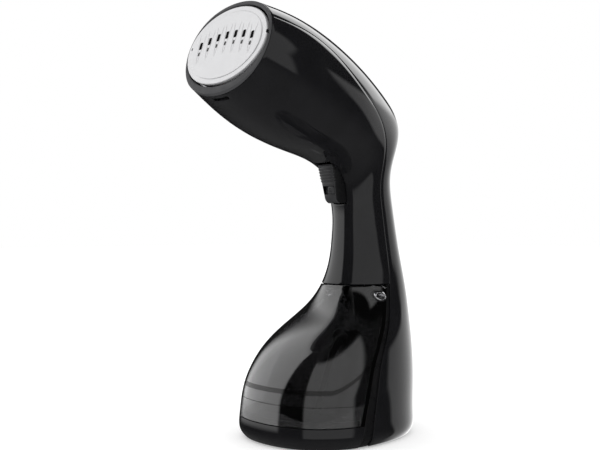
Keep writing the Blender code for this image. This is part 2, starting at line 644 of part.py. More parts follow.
# ---------------------------------------------------------------- water pump and electrics in the leg
PUMP = (0.0, 37.0)
turned("pump_barrel", (PUMP[0], PUMP[1], 30.0), (0, 0, 1),
       [(0.0, 62.0), (2.0, 62.0), (2.4, 57.0), (2.0, 57.0), (2.0, 54.0), (6.0, 54.0), (6.0, 4.0), (2.0, 4.0), (2.0, 0.0),
        (0.0, 0.0)], "nylon_white", 18)
coil = box("pump_coil", (-12.5, 25, 46), (12.5, 49, 68), "copper_wrap", edge=1.2)
boolean(coil, rod("coil_bore", (*PUMP, 30), (*PUMP, 90), 6.4, sides=18, cutter=True))
for z0, tag in ((36.0, "lower"), (71.0, "upper")):
    turned("pump_cushion_" + tag, (*PUMP, z0), (0, 0, 1), [(9.5, 5.0), (9.5, 0.0), (6.4, 0.0), (6.4, 5.0)], "rubber_black", 18)
cradle = prism("pump_cradle", [(26, 33.5), (26, 35.5), (50.2, 35.5), (50.2, 76.5), (26, 76.5), (26, 78.5), (52.2, 78.5),
                               (52.2, 33.5)], -12, 12, "satin_black")
boolean(cradle, rod("cradle_bore", (*PUMP, 20), (*PUMP, 95), 6.4, sides=18, cutter=True))
tube("suction_hose", smooth_path([(PORT_X, 18.8, 66), (PORT_X, 21.0, 66), (PORT_X + 0.5, 24, 61), (PORT_X + 0.5, 26, 50), (17, 28, 36),
                                  (12, 32, 23), (3.5, 36, 18.0), (0, 37, 23), (0, 37, 29.5)], 3), 2.4, "silicone_clear", 1)
nz = head(14.5, 0, -32.9)
tube("delivery_hose", smooth_path([(0, 37, 92.5), (0, 37.5, 100), (0, 38, 115), (0, 37, 140), (0, 36, 165), (1, 34, 190),
                                   (4, 22, 214), (9, -8, 230), (13, -36, 240), (14.5, nz[1] + 8, nz[2] - 2.2), nz], 3),
     2.4, "silicone_clear", 1)
box("control_board", (-21.6, 18, 28), (-20.0, 48, 76), "board_green")
box("board_relay", (-19.6, 26, 50), (-14.5, 42, 64), "satin_black", edge=0.5)
box("terminal_block", (-9, 44.5, 5.6), (9, 53.0, 17.0), "nylon_white", edge=0.6)
turned("cord_gland", (0, 54.5, GLAND_Z), (0, 1, 0),
       [(6.2, 11.5), (7.4, 10.5), (7.4, 7.4), (5.0, 7.4), (5.0, 0.0), (3.2, 0.0), (3.2, 11.5)], "rubber_black", 20)
base_plate = loft("base_plate", [[(x, y, 1.6) for x, y, _ in rear_d(1.6, 3.7, -14.5)],
                                 [(x, y, 4.0) for x, y, _ in rear_d(4.0, 3.7, -14.5)]], "satin_black")
for side in (-1, 1):
    tag = "left" if side < 0 else "right"
    boolean(base_plate, rod("base_hole_" + tag, (26 * side, 43, -1), (26 * side, 43, 8), 1.9, sides=14, cutter=True))
for side in (-1, 1):
    tag = "left" if side < 0 else "right"
    turned("base_screw_" + tag, (26 * side, 43, 0.35), (0, 0, 1),
           [(0.0, 11.0), (1.0, 11.0), (1.5, 9.6), (1.5, 0.95), (2.9, 0.85), (2.9, 0.0), (0.0, 0.0)], "steel", 14)
    rod("foot_rear_" + tag, (22 * side, 24, 0.0), (22 * side, 24, 1.3), 5.0, "rubber_black", 20)
    boolean(tank_cap, rod("foot_pocket_" + tag, (30 * side, -34, -2), (30 * side, -34, 1.7), 5.4, sides=20, cutter=True))
    rod("foot_front_" + tag, (30 * side, -34, 0.0), (30 * side, -34, 1.35), 5.0, "rubber_black", 20)
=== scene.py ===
"""Looks of the handheld garment steamer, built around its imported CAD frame.

All helper functions take millimetres in the design frame of the CAD source
(steam head towards -Y, base on Z = 0); W() turns them into the row's metres.
"""

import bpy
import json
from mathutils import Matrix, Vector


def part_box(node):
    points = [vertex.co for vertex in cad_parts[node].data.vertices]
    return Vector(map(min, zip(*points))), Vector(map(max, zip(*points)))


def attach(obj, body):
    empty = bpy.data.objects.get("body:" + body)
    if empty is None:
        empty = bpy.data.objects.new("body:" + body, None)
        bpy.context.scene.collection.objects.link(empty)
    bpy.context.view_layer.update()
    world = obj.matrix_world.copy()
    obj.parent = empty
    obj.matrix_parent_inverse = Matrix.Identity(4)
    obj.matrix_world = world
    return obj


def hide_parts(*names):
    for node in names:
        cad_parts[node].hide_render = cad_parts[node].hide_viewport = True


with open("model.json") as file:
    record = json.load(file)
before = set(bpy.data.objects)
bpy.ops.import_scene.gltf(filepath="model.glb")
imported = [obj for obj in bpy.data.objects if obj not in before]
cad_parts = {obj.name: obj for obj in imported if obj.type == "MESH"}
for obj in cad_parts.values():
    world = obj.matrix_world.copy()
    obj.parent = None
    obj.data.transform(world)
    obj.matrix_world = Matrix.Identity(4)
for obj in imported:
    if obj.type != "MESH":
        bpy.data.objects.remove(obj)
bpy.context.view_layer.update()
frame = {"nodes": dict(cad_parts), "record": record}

import json
import math

import bmesh
import bpy
import numpy as np
from mathutils import Matrix, Vector

_lo, _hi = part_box("trigger_pin")
YS = (_lo.y + _hi.y) * 500.0 - 9.0          # design frame -> row frame, along Y


def W(p):
    return (p[0] * 0.001, (p[1] + YS) * 0.001, p[2] * 0.001)


# =====================================================================
# Body surface
# =====================================================================
SECTIONS = np.array([
    (-101.5, 225.5, -82.0, 285.0, 41.4, 2.15, 0.00),
    (-76.0, 209.5, -57.0, 281.0, 46.5, 2.15, 0.00),
    (-51.0, 198.0, -24.5, 271.0, 44.5, 2.15, 0.00),
    (-27.0, 191.5, 7.0, 255.5, 40.0, 2.15, 0.00),
    (-8.0, 185.5, 37.0, 237.0, 33.0, 2.15, 0.00),
    (2.5, 176.5, 57.5, 216.0, 25.5, 2.15, 0.00),
    (7.0, 163.5, 49.6, 186.5, 21.5, 2.15, 0.00),
    (8.5, 150.0, 52.5, 161.5, 19.5, 2.15, 0.00),
    (8.0, 133.0, 57.0, 136.0, 21.0, 2.15, 0.00),
    (6.0, 117.0, 60.5, 117.0, 23.5, 2.15, 0.00),
    (1.0, 103.0, 62.5, 103.0, 27.0, 2.15, 0.00),
    (-8.0, 90.0, 63.5, 90.0, 31.5, 2.20, 0.04),
    (-26.0, 77.0, 63.5, 77.0, 38.0, 2.20, 0.06),
    (-44.0, 63.0, 63.5, 63.0, 44.0, 2.25, 0.08),
    (-54.0, 50.0, 63.0, 50.0, 47.5, 2.30, 0.09),
    (-60.0, 37.0, 62.5, 37.0, 50.0, 2.30, 0.10),
    (-63.5, 15.0, 61.0, 15.0, 52.0, 2.30, 0.10),
    (-62.5, 4.0, 60.0, 4.0, 51.0, 2.30, 0.10),
    (-59.0, 0.0, 57.5, 0.0, 48.0, 2.30, 0.10),
])
PARTING = [0.50, 0.52, 0.42, 0.22, 0.08, -0.08, -0.06, 0.0, 0.0, -0.01, -0.05]
BAY_LINE = np.array([(0.0, -22.5, 8.0), (15.0, -20.0, 8.0), (37.0, -12.5, 6.6),
                     (55.0, -3.5, 5.4), (79.0, 15.5, 3.8), (103.0, 27.5, 2.8), (112.0, 30.0, 2.4)])
SEAM_Z, CAP_Z, BASE_Z = 103.0, 15.0, 0.8
STEP = 0.25                                  # mm along the body


def spline(x, y, at):
    """Natural cubic spline through (x, y) rows, read at the given places."""
    x = np.asarray(x, float)
    y = np.asarray(y, float).reshape(len(x), -1)
    h = np.diff(x)
    n = len(x)
    a = np.zeros((n, n))
    b = np.zeros((n, y.shape[1]))
    a[0, 0] = a[-1, -1] = 1.0
    for i in range(1, n - 1):
        a[i, i - 1], a[i, i], a[i, i + 1] = h[i - 1], 2 * (h[i - 1] + h[i]), h[i]
        b[i] = 6 * ((y[i + 1] - y[i]) / h[i] - (y[i] - y[i - 1]) / h[i - 1])
    m = np.linalg.solve(a, b)
    at = np.asarray(at, float)
    k = np.clip(np.searchsorted(x, at) - 1, 0, n - 2)
    t0, t1 = (at - x[k])[:, None], (x[k + 1] - at)[:, None]
    hk = h[k][:, None]
    return ((m[k] * t1 ** 3 + m[k + 1] * t0 ** 3) / (6 * hk)
            + (y[k] / hk - m[k] * hk / 6) * t1 + (y[k + 1] / hk - m[k + 1] * hk / 6) * t0)


def soften(rows, sigma):
    """Gaussian smoothing along the body that keeps both ends in place."""
    r = int(4 * sigma / STEP)
    k = np.exp(-0.5 * (np.arange(-r, r + 1) * STEP / sigma) ** 2)
    k /= k.sum()
    head = 2 * rows[0] - rows[r:0:-1]
    tail = 2 * rows[-1] - rows[-2:-r - 2:-1]
    full = np.concatenate([head, rows, tail])
    return np.stack([np.convolve(full[:, i], k, "valid") for i in range(full.shape[1])], 1)


_front = np.hypot(np.diff(SECTIONS[:, 0]), np.diff(SECTIONS[:, 1]))
_rear = np.hypot(np.diff(SECTIONS[:, 2]), np.diff(SECTIONS[:, 3]))
KNOTS = np.concatenate([[0], np.cumsum((_front + _rear) / 2)])
LENGTH = KNOTS[-1]
PLACES = np.arange(0, LENGTH + STEP, STEP).clip(0, LENGTH)
_raw = spline(KNOTS, SECTIONS, PLACES)
_soft = soften(_raw, 5.0)
_near_base = np.clip((PLACES - KNOTS[14]) / (KNOTS[16] - KNOTS[14]), 0, 1)[:, None]
TABLE = _soft * (1 - _near_base) + _raw * _near_base
_PART = soften(spline(KNOTS[:11], np.array(PARTING)[:, None], PLACES.clip(0, KNOTS[10])), 4.0)[:, 0]
BAY_Z = np.arange(-2.0, 114.0, 0.5)
BAY = soften(spline(BAY_LINE[:, 0], BAY_LINE[:, 1:], BAY_Z), 1.5)


def section(L, inset=0.0):
    row = [np.interp(L, PLACES, TABLE[:, i]) for i in range(7)]
    fy, fz, ry, rz, w, n, e = row
    hy, hz = (ry - fy) / 2, (rz - fz) / 2
    k = 1 - inset / math.hypot(hy, hz)
    return (fy + ry) / 2, (fz + rz) / 2, hy * k, hz * k, w - inset, n, e


def swell(t, n):
    return 1 + (2 ** (0.5 - 1 / n) - 1) * (1 - np.cos(4 * t)) / 2


def skin(L, t, inset=0.0):
    """Points on the body: t runs from the top/rear (0) over +X to the front (pi)."""
    cy, cz, hy, hz, w, n, e = section(L, inset)
    t = np.asarray(t, float)
    f = swell(t, n)
    u = np.cos(t) * f
    return np.stack([w * np.sin(t) * f * (1 - e * u), cy + hy * u, cz + hz * u], -1)


_T = np.linspace(0, math.pi, 721)


def angle_of_u(u, n):
    values = np.cos(_T) * swell(_T, n)
    return float(np.interp(-u, -values, _T))


def angle_of_x(L, x):
    """Angle on the front half where the half width is x."""
    half = _T[_T > math.pi / 2]
    return float(np.interp(-x, -skin(L, half)[:, 0], half))


def angle_at_y(L, y, inset=0.0):
    cy, cz, hy, hz, w, n, e = section(L, inset)
    return angle_of_u((y - cy) / hy, n)


_mid_z = (TABLE[:, 1] + TABLE[:, 3]) / 2


def place_at_z(z):
    lower = PLACES > KNOTS[8]
    return float(np.interp(-z, -_mid_z[lower], PLACES[lower]))


def place_at_front_z(z):
    part = (PLACES > KNOTS[1]) & (PLACES < KNOTS[10])
    return float(np.interp(-z, -TABLE[part, 1], PLACES[part]))


def bay_y(z):
    return float(np.interp(z, BAY_Z, BAY[:, 0])), float(np.interp(z, BAY_Z, BAY[:, 1]))


SEAM_L = place_at_z(SEAM_Z)


def parting_angle(L):
    cy, cz, hy, hz, w, n, e = section(L)
    upper = angle_of_u(float(np.interp(L, PLACES, _PART)), n)
    if L < SEAM_L - 12:
        return upper
    y, width = bay_y(min(cz, 112.0))
    lower = angle_at_y(L, y + width)
    k = min(1.0, (L - SEAM_L + 12) / 12)
    return upper * (1 - k) + lower * k


def gap_angle(L, a, mm):
    p = skin(L, [a - 0.01, a + 0.01])
    return mm * 0.02 / float(np.linalg.norm(p[1] - p[0]))


# steam face frame
_h = SECTIONS[0]
_hl = math.hypot(_h[2] - _h[0], _h[3] - _h[1])
FACE_V = ((_h[2] - _h[0]) / _hl, (_h[3] - _h[1]) / _hl)
FACE_F = (-FACE_V[1], FACE_V[0])
FACE_C = ((_h[0] + _h[2]) / 2, (_h[1] + _h[3]) / 2)


def head(x, v, f):
    return (x, FACE_C[0] + FACE_V[0] * v + FACE_F[0] * f, FACE_C[1] + FACE_V[1] * v + FACE_F[1] * f)


def oval(a, b, f, count, cx=0.0, cv=0.0, n=2.0):
    out = []
    for i in range(count):
        t = 2 * math.pi * i / count
        k = float(swell(t, n))
        out.append(head(cx + a * math.cos(t) * k, cv + b * math.sin(t) * k, f))
    return out


def skin_at(Ls, t):
    """As skin(), with a place of its own for each point."""
    Ls, t = np.asarray(Ls, float), np.asarray(t, float)
    fy, fz, ry, rz, w, n, e = [np.interp(Ls, PLACES, TABLE[:, i]) for i in range(7)]
    f = 1 + (2 ** (0.5 - 1 / n) - 1) * (1 - np.cos(4 * t)) / 2
    u = np.cos(t) * f
    return np.stack([w * np.sin(t) * f * (1 - e * u), (fy + ry) / 2 + (ry - fy) / 2 * u,
                     (fz + rz) / 2 + (rz - fz) / 2 * u], -1)


def lip_depth(t):
    """How far behind the face the lip ring ends: deep at the crown and the chin, shallow at the sides."""
    c = np.cos(np.asarray(t, float))
    return 0.75 + np.where(c > 0, 2.6, 1.5) * np.abs(c) ** 2.6


def near_face(L, t):
    """Places along the body that follow the lip's edge near the face and even out behind it."""
    k = np.clip(1 - (L - L_TOP) / 12.0, 0, 1)
    return L + (lip_depth(t) + 0.3 - L_TOP) * k * k * (3 - 2 * k)


L_TOP = 3.35

# =====================================================================
# Mesh makers
# =====================================================================
def finish_mesh(name, verts, faces, mat, body, sharp=35.0, recalc=False):
    me = bpy.data.meshes.new(name)
    me.from_pydata([W(v) for v in verts], [], faces)
    if recalc:
        bm = bmesh.new()
        bm.from_mesh(me)
        bmesh.ops.recalc_face_normals(bm, faces=bm.faces[:])
        bm.to_mesh(me)
        bm.free()
    me.validate()
    me.shade_smooth()
    if sharp:
        me.set_sharp_from_angle(angle=math.radians(sharp))
    ob = bpy.data.objects.new(name, me)
    bpy.context.scene.collection.objects.link(ob)
    me.materials.append(mat)
    if body:
        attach(ob, body)
    return ob


def clean(verts, faces):
    """Drop vertices that no face uses."""
    used = sorted({i for f in faces for i in f})
    new = {old: i for i, old in enumerate(used)}
    return [verts[i] for i in used], [tuple(new[i] for i in f) for f in faces]


def sheet(name, rows, mat, body, thick=2.0, closed=False, drop=None, cap_top=False, cap_bottom=False,
          edge=0.3, sharp=40.0):
    """Open surface through rows of points, thickened inwards, with softened rims."""
    n = len(rows[0])
    verts = [tuple(p) for r in rows for p in r]
    faces = []
    for i in range(len(rows) - 1):
        for j in range(n if closed else n - 1):
            k = (j + 1) % n
            if drop and drop(i, j):
                continue
            faces.append((i * n + j, i * n + k, (i + 1) * n + k, (i + 1) * n + j))
    if cap_top:
        faces.append(tuple(reversed(range(n))))
    if cap_bottom:
        faces.append(tuple(range((len(rows) - 1) * n, len(rows) * n)))
    verts, faces = clean(verts, faces)
    ob = finish_mesh(name, verts, faces, mat, body, sharp=None)
    m = ob.modifiers.new("wall", "SOLIDIFY")
    m.thickness = thick * 0.001
    m.offset = -1.0
    m.use_even_offset = True
    m.use_quality_normals = True
    if edge:
        soft_edges(ob, edge)
    return ob


def soft_edges(ob, width, segments=2, angle=40.0):
    m = ob.modifiers.new("edges", "BEVEL")
    m.width = width * 0.001
    m.segments = segments
    m.limit_method = "ANGLE"
    m.angle_limit = math.radians(angle)
    m.harden_normals = False
    m.use_clamp_overlap = True
    m.miter_outer = "MITER_ARC"
    return m


def loft(name, loops, mat, body, ring=False, sharp=35.0, caps=True):
    """Closed solid through equal-length loops: capped at both ends, or a ring."""
    n = len(loops[0])
    verts = [tuple(p) for lp in loops for p in lp]
    faces = []
    m = len(loops)
    for i in range(m if ring else m - 1):
        j = (i + 1) % m
        for k in range(n):
            l = (k + 1) % n
            faces.append((i * n + k, i * n + l, j * n + l, j * n + k))
    if not ring and caps:
        faces.append(tuple(range(n)))
        faces.append(tuple(range((m - 1) * n, m * n)))
    return finish_mesh(name, verts, faces, mat, body, sharp=sharp, recalc=True)


def lathe(name, base, axis, profile, mat, body, steps=64, sharp=35.0):
    """Ring or solid of revolution: profile (radius, height) points, closed on itself."""
    rot = Vector((0, 0, 1)).rotation_difference(Vector(axis)).to_matrix()
    loops = []
    for r, h in profile:
        r = max(r, 0.02)
        loops.append([tuple(Vector(base) + rot @ Vector((r * math.cos(2 * math.pi * i / steps),
                                                         r * math.sin(2 * math.pi * i / steps), h)))
                      for i in range(steps)])
    solid = profile[0][0] < 0.02 and profile[-1][0] < 0.02
    return loft(name, loops, mat, body, ring=not solid, sharp=sharp)


CUTTERS = []


def cut(ob, cutter, op="DIFFERENCE"):
    """EXACT Boolean, left as a modifier; apply_all() bakes it and removes the cutter, so that no cutter stays in the
    scene.
    """
    m = ob.modifiers.new("cut", "BOOLEAN")
    m.operation = op
    m.solver = "EXACT"
    m.object = cutter
    CUTTERS.append((ob, cutter))


def apply_all(ob, sharp=None):
    """Bake the modifiers into the mesh."""
    bpy.context.view_layer.update()
    me = bpy.data.meshes.new_from_object(ob.evaluated_get(bpy.context.evaluated_depsgraph_get()),
                                         preserve_all_data_layers=True,
                                         depsgraph=bpy.context.evaluated_depsgraph_get())
    ob.modifiers.clear()
    old = ob.data
    name = old.name
    ob.data = me
    bpy.data.meshes.remove(old)
    me.name = name
    if sharp:
        me.shade_smooth()
        me.set_sharp_from_angle(angle=math.radians(sharp))
    used = [c for o, c in CUTTERS if o == ob]
    for c in set(used):
        bpy.data.objects.remove(c, do_unlink=True)
    CUTTERS[:] = [(o, c) for o, c in CUTTERS if o != ob]
    return ob


def cutter_box(lo, hi):
    v = [(x, y, z) for z in (lo[2], hi[2]) for y in (lo[1], hi[1]) for x in (lo[0], hi[0])]
    f = [(0, 2, 3, 1), (4, 5, 7, 6), (0, 1, 5, 4), (2, 6, 7, 3), (0, 4, 6, 2), (1, 3, 7, 5)]
    return finish_mesh("cutter", v, f, MAT["satin_black"], None, sharp=None)


def cutter_loft(loops):
    return loft("cutter", loops, MAT["satin_black"], None, sharp=None)


def rounded_box(name, lo, hi, mat, body, r=0.6, seg=3):
    v = [(x, y, z) for z in (lo[2], hi[2]) for y in (lo[1], hi[1]) for x in (lo[0], hi[0])]
    f = [(0, 2, 3, 1), (4, 5, 7, 6), (0, 1, 5, 4), (2, 6, 7, 3), (0, 4, 6, 2), (1, 3, 7, 5)]
    ob = finish_mesh(name, v, f, mat, body, sharp=None)
    m = soft_edges(ob, r, seg, 30)
    return ob


# =====================================================================
# Materials: every one is procedural
# =====================================================================
MAT = {}


class Build:
    def __init__(self, name):
        self.m = bpy.data.materials.new(name)
        self.m.use_nodes = True
        self.t = self.m.node_tree
        self.n = self.t.nodes
        self.b = self.n["Principled BSDF"]
        self.coord = self.n.new("ShaderNodeTexCoord")

    def link(self, a, b):
        self.t.links.new(a, b)

    def noise(self, scale, detail=3.0, rough=0.5, stretch=None):
        src = self.coord.outputs["Object"]
        if stretch:
            mp = self.n.new("ShaderNodeMapping")
            mp.inputs["Scale"].default_value = stretch
            self.link(src, mp.inputs["Vector"])
            src = mp.outputs["Vector"]
        t = self.n.new("ShaderNodeTexNoise")
        t.inputs["Scale"].default_value = scale
        t.inputs["Detail"].default_value = detail
        t.inputs["Roughness"].default_value = rough
        self.link(src, t.inputs["Vector"])
        return t.outputs["Fac"]

    def voronoi(self, scale, feature="F1"):
        t = self.n.new("ShaderNodeTexVoronoi")
        t.feature = feature
        t.inputs["Scale"].default_value = scale
        self.link(self.coord.outputs["Object"], t.inputs["Vector"])
        return t.outputs["Distance"]

    def ramp(self, fac, stops):
        r = self.n.new("ShaderNodeValToRGB")
        cr = r.color_ramp
        while len(cr.elements) > len(stops):
            cr.elements.remove(cr.elements[-1])
        while len(cr.elements) < len(stops):
            cr.elements.new(0.5)
        for e, (p, c) in zip(cr.elements, stops):
            e.position = p
            e.color = (*c, 1.0) if len(c) == 3 else c
        self.link(fac, r.inputs["Fac"])
        return r.outputs["Color"]

    def spread(self, fac, lo, hi, a=0.3, b=0.7):
        r = self.n.new("ShaderNodeMapRange")
        r.inputs["From Min"].default_value = a
        r.inputs["From Max"].default_value = b
        r.inputs["To Min"].default_value = lo
        r.inputs["To Max"].default_value = hi
        self.link(fac, r.inputs["Value"])
        return r.outputs["Result"]

    def bump(self, height, strength, distance, base=None):
        bp = self.n.new("ShaderNodeBump")
        bp.inputs["Strength"].default_value = strength
        bp.inputs["Distance"].default_value = distance
        self.link(height, bp.inputs["Height"])
        if base:
            self.link(base, bp.inputs["Normal"])
        return bp.outputs["Normal"]

    def add(self, a, b, op="ADD"):
        m = self.n.new("ShaderNodeMath")
        m.operation = op
        for s, v in ((0, a), (1, b)):
            if isinstance(v, (int, float)):
                m.inputs[s].default_value = v
            else:
                self.link(v, m.inputs[s])
        return m.outputs[0]


def moulded(name, rgb, rough, spread=0.25, grain=900.0, depth=0.00004, strength=0.25, tint=0.18, ior=1.5,
            spec=0.5, wear=0.0):
    """Moulded plastic or rubber: slight mottling, uneven polish and a fine mould texture."""
    k = Build(name)
    low = tuple(c * (1 - tint) for c in rgb)
    high = tuple(min(1.0, c * (1 + tint)) for c in rgb)
    k.link(k.ramp(k.noise(60.0, 4.0), [(0.30, low), (0.70, high)]), k.b.inputs["Base Color"])
    k.link(k.spread(k.noise(140.0, 4.0, 0.6), rough * (1 - spread), rough * (1 + spread)), k.b.inputs["Roughness"])
    k.link(k.bump(k.noise(grain, 3.0, 0.55), strength, depth), k.b.inputs["Normal"])
    k.b.inputs["IOR"].default_value = ior
    k.b.inputs["Specular IOR Level"].default_value = spec
    MAT[name] = k.m
    return k


moulded("gloss_black", (0.0070, 0.0070, 0.0078), 0.042, 0.25, 1500.0, 0.000006, 0.08, 0.15)
# darker, less shiny black for the bay wall; also laid on the trigger's flanks as painted shade
moulded("bay_black_and_flank_shade", (0.005, 0.005, 0.0055), 0.30, 0.3, 1500.0, 0.00001, 0.15, 0.15, spec=0.25)
moulded("satin_black", (0.030, 0.030, 0.032), 0.36, 0.2, 1800.0, 0.00003, 0.30, 0.15)
moulded("trigger_black", (0.030, 0.030, 0.032), 0.42, 0.2, 2200.0, 0.00003, 0.35, 0.15)
moulded("bezel_grey", (0.052, 0.052, 0.055), 0.62, 0.12, 2600.0, 0.00004, 0.40, 0.10, spec=0.35)
moulded("rubber_black", (0.018, 0.018, 0.018), 0.78, 0.1, 2000.0, 0.00005, 0.5, 0.2)
moulded("silicone_red", (0.42, 0.06, 0.045), 0.5, 0.15, 1400.0, 0.00003, 0.3, 0.12)
moulded("nylon_white", (0.72, 0.72, 0.69), 0.42, 0.2, 1600.0, 0.00003, 0.25, 0.06)
moulded("valve_dark", (0.008, 0.008, 0.009), 0.30, 0.2, 1600.0, 0.00003, 0.25, 0.15)


def metal(name, rgb, rough, stretch, scale, strength=0.2, tint=0.08, aniso=0.0):
    k = Build(name)
    low = tuple(c * (1 - tint) for c in rgb)
    lines = k.noise(scale, 5.0, 0.6, stretch)
    k.link(k.ramp(k.noise(90.0, 4.0), [(0.3, low), (0.7, rgb)]), k.b.inputs["Base Color"])
    k.link(k.spread(lines, rough * 0.8, rough * 1.2), k.b.inputs["Roughness"])
    k.link(k.bump(lines, strength, 0.00002), k.b.inputs["Normal"])
    k.b.inputs["Metallic"].default_value = 1.0
    k.b.inputs["Anisotropic"].default_value = aniso
    MAT[name] = k.m
    return k


metal("steel", (0.62, 0.62, 0.64), 0.30, (1, 1, 8), 400.0)
_satin = metal("soleplate_silver", (0.63, 0.63, 0.64), 0.34, (1, 10, 10), 260.0, 0.06, 0.03)
_satin.b.inputs["Metallic"].default_value = 0.6      # anodised satin skin
metal("cast_aluminium", (0.55, 0.55, 0.56), 0.52, (1, 1, 1), 700.0, 0.6, 0.15)

k = Build("copper_wrap")
_w = k.n.new("ShaderNodeTexWave")
_w.wave_type, _w.bands_direction = "BANDS", "Z"
_w.inputs["Scale"].default_value = 420.0
_w.inputs["Distortion"].default_value = 0.6
k.link(k.coord.outputs["Object"], _w.inputs["Vector"])
k.link(k.ramp(_w.outputs["Fac"], [(0.0, (0.10, 0.03, 0.01)), (0.6, (0.52, 0.21, 0.07))]), k.b.inputs["Base Color"])
k.link(k.spread(_w.outputs["Fac"], 0.5, 0.3), k.b.inputs["Roughness"])
k.link(k.bump(_w.outputs["Fac"], 0.6, 0.0002), k.b.inputs["Normal"])
MAT["copper_wrap"] = k.m

k = Build("board_green")
k.link(k.ramp(k.voronoi(260.0, "DISTANCE_TO_EDGE"), [(0.02, (0.10, 0.30, 0.12)), (0.10, (0.02, 0.14, 0.05))]),
       k.b.inputs["Base Color"])
k.link(k.spread(k.noise(300.0), 0.35, 0.55), k.b.inputs["Roughness"])
k.link(k.bump(k.voronoi(260.0, "DISTANCE_TO_EDGE"), 0.3, 0.00005), k.b.inputs["Normal"])
MAT["board_green"] = k.m


def clear(name, rgb, rough, tint=0.05, ior=1.46):
    k = Build(name)
    low = tuple(c * (1 - tint) for c in rgb)
    k.link(k.ramp(k.noise(45.0, 3.0), [(0.3, low), (0.7, rgb)]), k.b.inputs["Base Color"])
    k.link(k.spread(k.noise(120.0, 3.0), rough * 0.6, rough * 1.4), k.b.inputs["Roughness"])
    k.link(k.bump(k.noise(70.0, 2.0), 0.04, 0.00003), k.b.inputs["Normal"])
    k.b.inputs["Transmission Weight"].default_value = 1.0
    k.b.inputs["IOR"].default_value = ior
    MAT[name] = k.m
    return k


_tank = clear("smoked_clear", (0.20, 0.20, 0.205), 0.004, ior=1.52)
_tank.b.inputs["Coat Weight"].default_value = 0.9
_tank.b.inputs["Coat Roughness"].default_value = 0.004
_tank.b.inputs["Coat IOR"].default_value = 1.5
clear("smoked_rib", (0.12, 0.12, 0.12), 0.10)
clear("button_clear", (0.86, 0.86, 0.88), 0.04, ior=1.5)
clear("hose_clear", (0.55, 0.55, 0.55), 0.28, ior=1.41)

# soleplate: painted shade, a near-black bed inside the steam openings, also used in the notch and behind the clip slot
k = Build("slot_dark")
k.link(k.ramp(k.noise(300.0), [(0.3, (0.004, 0.004, 0.004)), (0.7, (0.010, 0.010, 0.010))]), k.b.inputs["Base Color"])
k.link(k.spread(k.noise(500.0), 0.7, 0.9), k.b.inputs["Roughness"])
MAT["slot_dark"] = k.m
k = Build("mark_grey")
k.link(k.ramp(k.noise(300.0), [(0.3, (0.12, 0.12, 0.12)), (0.7, (0.18, 0.18, 0.18))]), k.b.inputs["Base Color"])
k.link(k.spread(k.noise(500.0), 0.5, 0.7), k.b.inputs["Roughness"])
MAT["mark_grey"] = k.m
k = Build("button_rim")
k.link(k.ramp(k.noise(200.0), [(0.3, (0.70, 0.70, 0.72)), (0.7, (0.82, 0.82, 0.84))]), k.b.inputs["Base Color"])
k.link(k.spread(k.noise(300.0), 0.08, 0.16), k.b.inputs["Roughness"])
k.b.inputs["Metallic"].default_value = 1.0
MAT["button_rim"] = k.m

# CAD nodes that stay take these by their record slot
SLOT_OF = {s["node"]: s["material_slot"] for s in frame["record"].get("subparts", [])}
LOOK = {"gloss_black": "gloss_black", "satin_black": "satin_black", "bezel_grey": "bezel_grey",
        "soleplate_silver": "soleplate_silver", "smoked_clear": "smoked_clear", "cast_aluminium": "cast_aluminium",
        "steel": "steel", "rubber_black": "rubber_black", "silicone_red": "silicone_red",
        "silicone_clear": "hose_clear", "nylon_white": "nylon_white", "board_green": "board_green",
        "copper_wrap": "copper_wrap", "button_clear": "button_clear"}
OWN = {"outlet_valve": "valve_dark", "pickup_tube": "valve_dark", "inlet_spout": "valve_dark", "filler_seal": "rubber_black"}
for node, ob in frame["nodes"].items():
    look = MAT[OWN.get(node, LOOK[SLOT_OF.get(node, "satin_black")])]
    if not ob.material_slots:
        ob.data.materials.append(look)
    for s in ob.material_slots:
        s.material = look

# =====================================================================
# Casings
# =====================================================================
OPEN_TOP, OPEN_LOW = place_at_front_z(186.3), place_at_front_z(158.1)
SLOT_L0, SLOT_L1 = 5.2, 7.5
L_HOUSING_END = place_at_z(SEAM_Z + 0.15)
L_BASE = place_at_z(BASE_Z)


def places(a, b, step, keep=()):
    out = list(np.linspace(a, b, max(2, int(round((b - a) / step)) + 1)))
    for k in keep:
        i = int(np.argmin([abs(v - k) for v in out]))
        out[i] = k
    return sorted(out)


N_SIDE, N_MID = 26, 13


def front_row(L, gap=0.10):
    a = parting_angle(L)
    a += gap_angle(L, a, gap)
    tx = angle_of_x(L, float(np.interp(L, (OPEN_TOP, OPEN_LOW), (8.0, 6.5))))
    right = np.linspace(a, tx, N_SIDE)
    mid = np.linspace(tx, 2 * math.pi - tx, N_MID)[1:-1]
    left = 2 * math.pi - right[::-1]
    t = np.concatenate([right, mid, left])
    return skin_at(near_face(L, t), t)


upper = places(L_TOP, L_HOUSING_END, 1.3, (SLOT_L0, SLOT_L1, OPEN_TOP, OPEN_LOW))
front_rows = [front_row(L) for L in upper]


def front_drop(i, j):
    L = (upper[i] + upper[i + 1]) / 2
    p = (front_rows[i][j] + front_rows[i][j + 1]) / 2
    if OPEN_TOP < L < OPEN_LOW and N_SIDE - 1 <= j < N_SIDE - 1 + N_MID - 1:
        return True
    return SLOT_L0 < L < SLOT_L1 and abs(p[0]) < 9.2 and p[2] < 240


front = sheet("casing_front", front_rows, MAT["gloss_black"], "body", 2.2, drop=front_drop, edge=0.09)
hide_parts("front_housing")

# painted shade: a near-black lining behind the clip slot, so that the slot reads black and no light shows through it
liner_rows = [skin(L, np.linspace(angle_of_x(L, 14.0), 2 * math.pi - angle_of_x(L, 14.0), 9), 2.5)
              for L in np.linspace(4.2, 9.0, 5)]
liner = sheet("clip_slot_shade_liner", liner_rows, MAT["slot_dark"], "body", 0.6, edge=0)


def rear_row(L, gap=0.10, count=61):
    a = parting_angle(L)
    a -= gap_angle(L, a, gap)
    t = np.linspace(-a, a, count)
    return skin_at(near_face(L, t), t)


